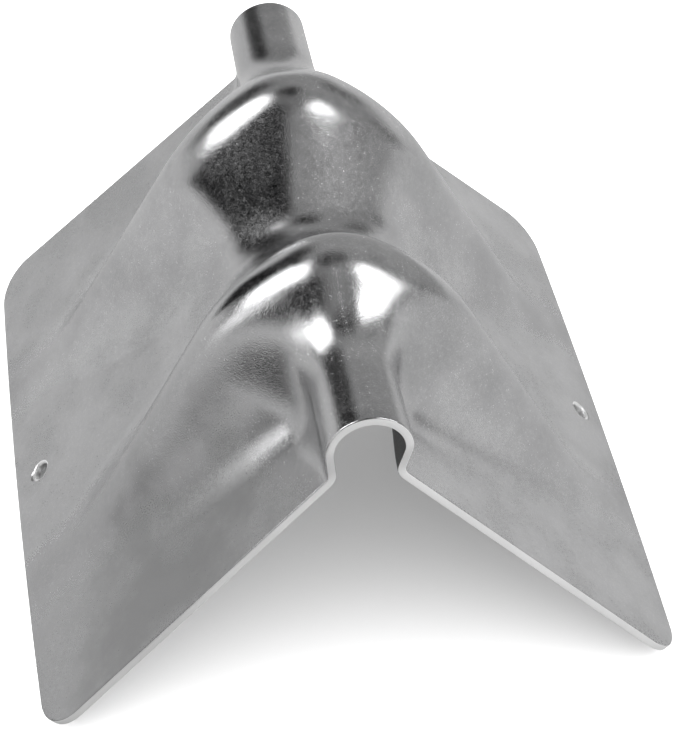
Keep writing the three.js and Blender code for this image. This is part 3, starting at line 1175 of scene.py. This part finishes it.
@dataclass(frozen=True)
class SoftBox:
    """A rectangular studio light that faces the part."""

    name: str
    azimuth: float
    elevation: float
    distance: float
    width: float
    height: float
    brightness: float
    along: float = -0.055

    def build(self, crest: Vector) -> None:
        """Hangs the light in its place.

        Args:
            crest: The crest's middle. The light faces a place along the crest from it.
        """
        light = bpy.data.lights.new(self.name, "AREA")
        light.shape = "RECTANGLE"
        light.size = self.width
        light.size_y = self.height
        light.energy = self.brightness * math.pi * self.width * self.height
        made = bpy.data.objects.new(self.name, light)
        bpy.context.scene.collection.objects.link(made)
        outwards = direction(self.azimuth, self.elevation)
        facing = outwards.to_track_quat("Z", "Y").to_matrix().to_4x4()
        aim = crest + Vector((0.0, self.along, 0.0))
        made.matrix_world = Matrix.Translation(aim + outwards * self.distance) @ facing
        made.visible_camera = False
        made.visible_diffuse = False


@dataclass(frozen=True)
class Card:
    """An upright studio card that only the metal sees, with one tone on either side.

    Its two corners are given from the middle of the virtual crest line.
    """

    name: str
    low: tuple[float, float, float]
    high: tuple[float, float, float]
    front_tone: float
    back_tone: float

    def build(self, crest_height: float) -> None:
        """Stands the card in its place.

        Args:
            crest_height: Height of the virtual crest line.
        """
        (x0, y0, z0), (x1, y1, z1) = self.low, self.high
        corners = [(x0, y0, z0), (x1, y1, z0), (x1, y1, z1), (x0, y0, z1)]
        mesh = bpy.data.meshes.new(self.name)
        mesh.from_pydata([(x, y, z + crest_height) for x, y, z in corners], [], [(0, 1, 2, 3)])
        paint = bpy.data.materials.new(self.name)
        paint.use_nodes = True
        paint.node_tree.nodes.clear()
        kit = ShaderKit(paint.node_tree)
        behind = Field(paint.node_tree, kit.node("ShaderNodeNewGeometry").outputs["Backfacing"])
        glow = kit.node("ShaderNodeEmission")
        kit.put(behind.blend(self.front_tone, self.back_tone), glow.inputs["Strength"])
        kit.put(glow.outputs[0], kit.node("ShaderNodeOutputMaterial").inputs["Surface"])
        mesh.materials.append(paint)
        card = bpy.data.objects.new(self.name, mesh)
        bpy.context.scene.collection.objects.link(card)
        card.visible_camera = False
        card.visible_diffuse = False
        card.visible_shadow = False


@dataclass(frozen=True)
class RoomPatch:
    """A darker or lighter part of the studio room, as the metal mirrors it."""

    azimuth: float
    elevation: float
    core: float
    reach: float
    level: float


@dataclass(frozen=True)
class Studio:
    """Pale floor, soft lights and the room around them."""

    floor_size: float = 6.0
    floor_colour: tuple[float, float, float, float] = (0.86, 0.86, 0.86, 1.0)
    # The metal sees the floor at this darker tone, with a painted shade at its front left.
    mirrored_floor: float = 0.23
    mirrored_shade: float = 0.0
    shade_place: tuple[float, float] = (-0.29, -0.33)
    shade_reach: tuple[float, float] = (0.12, 0.37)
    backdrop: float = 1.0
    fill: float = 3.9
    horizon: float = 0.95
    sky: float = 0.42
    horizon_span: tuple[float, float] = (4.0, 15.0)
    patches: tuple[RoomPatch, ...] = (
        RoomPatch(40, 50, 30, 48, 0.33),
        RoomPatch(180, 77, 9, 18, 0.0),
        RoomPatch(-145, 29, 13, 24, 0.03),
        RoomPatch(-131, 19, 6, 13, 0.0),
        RoomPatch(104, 10, 4, 10, 0.18),
        RoomPatch(130, 27, 6, 16, 0.20),
        RoomPatch(-54, 44, 25, 37, 0.0),
    )
    lights: tuple[SoftBox, ...] = (
        SoftBox("left_soft_box", -106, 43, 1.4, 0.58, 1.00, 4.5),
        SoftBox("low_left_soft_box", -88, 15, 0.27, 0.09, 0.12, 1.3),
        SoftBox("right_soft_box", 77, 42, 0.36, 0.13, 0.30, 4.5),
    )
    cards: tuple[Card, ...] = (
        Card("grey_card", (-0.010, 0.000, 0.004), (0.300, 0.000, 0.092), 0.42, 0.34),
        Card("black_card", (-0.060, -0.020, 0.000), (-0.060, 0.032, 0.115), 0.0, 0.5),
    )

    def build(self, crest: Vector, rise: float) -> None:
        """Sets up the studio.

        Args:
            crest: Middle of the line over the ribs' tops.
            rise: Height of the ribs over the virtual crest line.
        """
        self.build_floor()
        self.build_room()
        for light in self.lights:
            light.build(crest)
        for card in self.cards:
            card.build(crest.z - rise)

    def build_floor(self) -> None:
        """Lays the pale floor that the part stands on."""
        made = bmesh.new()
        bmesh.ops.create_grid(made, x_segments=1, y_segments=1, size=self.floor_size / 2)
        mesh = bpy.data.meshes.new("floor")
        made.to_mesh(mesh)
        made.free()
        floor = bpy.data.objects.new("floor", mesh)
        bpy.context.scene.collection.objects.link(floor)
        paint = bpy.data.materials.new("pale_floor")
        paint.use_nodes = True
        kit = ShaderKit(paint.node_tree)
        shader = paint.node_tree.nodes["Principled BSDF"]
        # painted shade: the floor is darker in reflections than to the camera, and darkest at the
        # front left
        mirrored = kit.node("ShaderNodeLightPath").outputs["Is Glossy Ray"]
        gap = kit.node("ShaderNodeVectorMath", operation="DISTANCE")
        kit.put(kit.node("ShaderNodeTexCoord").outputs["Object"], gap.inputs[0])
        kit.put((*self.shade_place, 0.0), gap.inputs[1])
        tones = (self.mirrored_shade, self.mirrored_floor)
        grey = kit.ramp(gap.outputs["Value"], *self.shade_reach, *tones)
        colour = kit.mix_colour(mirrored, self.floor_colour, grey)
        kit.put(colour, shader.inputs["Base Color"])
        shader.inputs["Roughness"].default_value = 0.9
        shader.inputs["Specular IOR Level"].default_value = 0.0
        mesh.materials.append(paint)

    def build_room(self) -> None:
        """Makes the room: plain to the eye, and with soft darker and lighter parts in the metal."""
        world = bpy.data.worlds.new("studio_room")
        bpy.context.scene.world = world
        world.use_nodes = True
        world.node_tree.nodes.clear()
        kit = ShaderKit(world.node_tree)
        towards = kit.node("ShaderNodeTexCoord").outputs["Generated"]
        apart = kit.node("ShaderNodeSeparateXYZ")
        kit.put(towards, apart.inputs[0])
        low, high = (math.sin(math.radians(angle)) for angle in self.horizon_span)
        level = kit.ramp(apart.outputs[2], low, high, self.horizon, self.sky)
        for patch in self.patches:
            dot = kit.node("ShaderNodeVectorMath", operation="DOT_PRODUCT")
            kit.put(towards, dot.inputs[0])
            kit.put(direction(patch.azimuth, patch.elevation), dot.inputs[1])
            outer, inner = (math.cos(math.radians(angle)) for angle in (patch.reach, patch.core))
            mask = kit.ramp(dot.outputs["Value"], outer, inner)
            level = mask.blend(level, patch.level)
        path = kit.node("ShaderNodeLightPath")
        mirrored = Field(world.node_tree, path.outputs["Is Glossy Ray"])
        seen = Field(world.node_tree, path.outputs["Is Camera Ray"])
        strength = seen.blend(mirrored.blend(self.fill, level), self.backdrop)
        background = kit.node("ShaderNodeBackground")
        kit.put(strength, background.inputs["Strength"])
        out = kit.node("ShaderNodeOutputWorld")
        kit.put(background.outputs[0], out.inputs["Surface"])


@dataclass(frozen=True)
class Viewpoint:
    """The camera: where it looks, from which side and with which lens."""

    target: tuple[float, float, float] = (0.00906, 0.0, 0.04573)
    azimuth: float = -9.52
    elevation: float = 42.27
    roll: float = 0.32
    distance: float = 0.8420
    lens: float = 119.4
    sensor_width: float = 36.0
    clip: tuple[float, float] = (0.01, 50.0)

    def build(self) -> None:
        """Sets up the camera and makes it the scene's."""
        data = bpy.data.cameras.new("camera")
        data.lens = self.lens
        data.sensor_width = self.sensor_width
        made = bpy.data.objects.new("camera", data)
        bpy.context.scene.collection.objects.link(made)
        back = direction(self.azimuth, self.elevation)
        facing = back.to_track_quat("Z", "Y").to_matrix().to_4x4()
        spun = facing @ Matrix.Rotation(math.radians(self.roll), 4, "Z")
        made.matrix_world = Matrix.Translation(Vector(self.target) + back * self.distance) @ spun
        data.clip_start, data.clip_end = self.clip
        bpy.context.scene.camera = made


SKIN = Finish(
    surface=Surface.SKIN,
    light=(0.60, 0.60, 0.605, 1.0),
    dark=(0.38, 0.38, 0.385, 1.0),
    plain_roughness=0.30,
    formed_roughness=0.16,
    grain_size=0.0005,
    grain_depth=0.00008,
    grain_roughness=0.6,
    wave_depth=0.0006,
    scratch_strength=0.4,
)
CUT = Finish(
    surface=Surface.CUT,
    light=(0.95, 0.95, 0.95, 1.0),
    dark=(0.86, 0.86, 0.86, 1.0),
    plain_roughness=0.42,
    formed_roughness=0.38,
    grain_size=0.0006,
    grain_depth=0.00003,
    grain_roughness=0.1,
    wave_depth=0.0,
    scratch_strength=0.0,
    painted_shade_strength=0.0,
)


def main() -> None:
    """Builds the camera, the protector and the studio, in that order."""
    logging.basicConfig(level=logging.INFO, format="%(name)s: %(message)s")
    bpy.context.scene.view_settings.view_transform = "Standard"
    Viewpoint().build()
    groups = MetalGroups()
    skin, cut = SKIN.material(groups), CUT.material(groups)
    sizes = SheetSizes.from_box(*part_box("pressed_shell"))
    sheet = PressedSheet(sizes)
    piece = sheet.build(skin, cut)
    sheet.join_frame(piece)
    LOG.info("%s: %d faces", piece.name, len(piece.data.polygons))
    crest = Vector((0.0, 0.0, sizes.stand_height + sizes.rib_height))
    Studio().build(crest, sizes.rib_height)


if __name__ == "__main__":
    main()
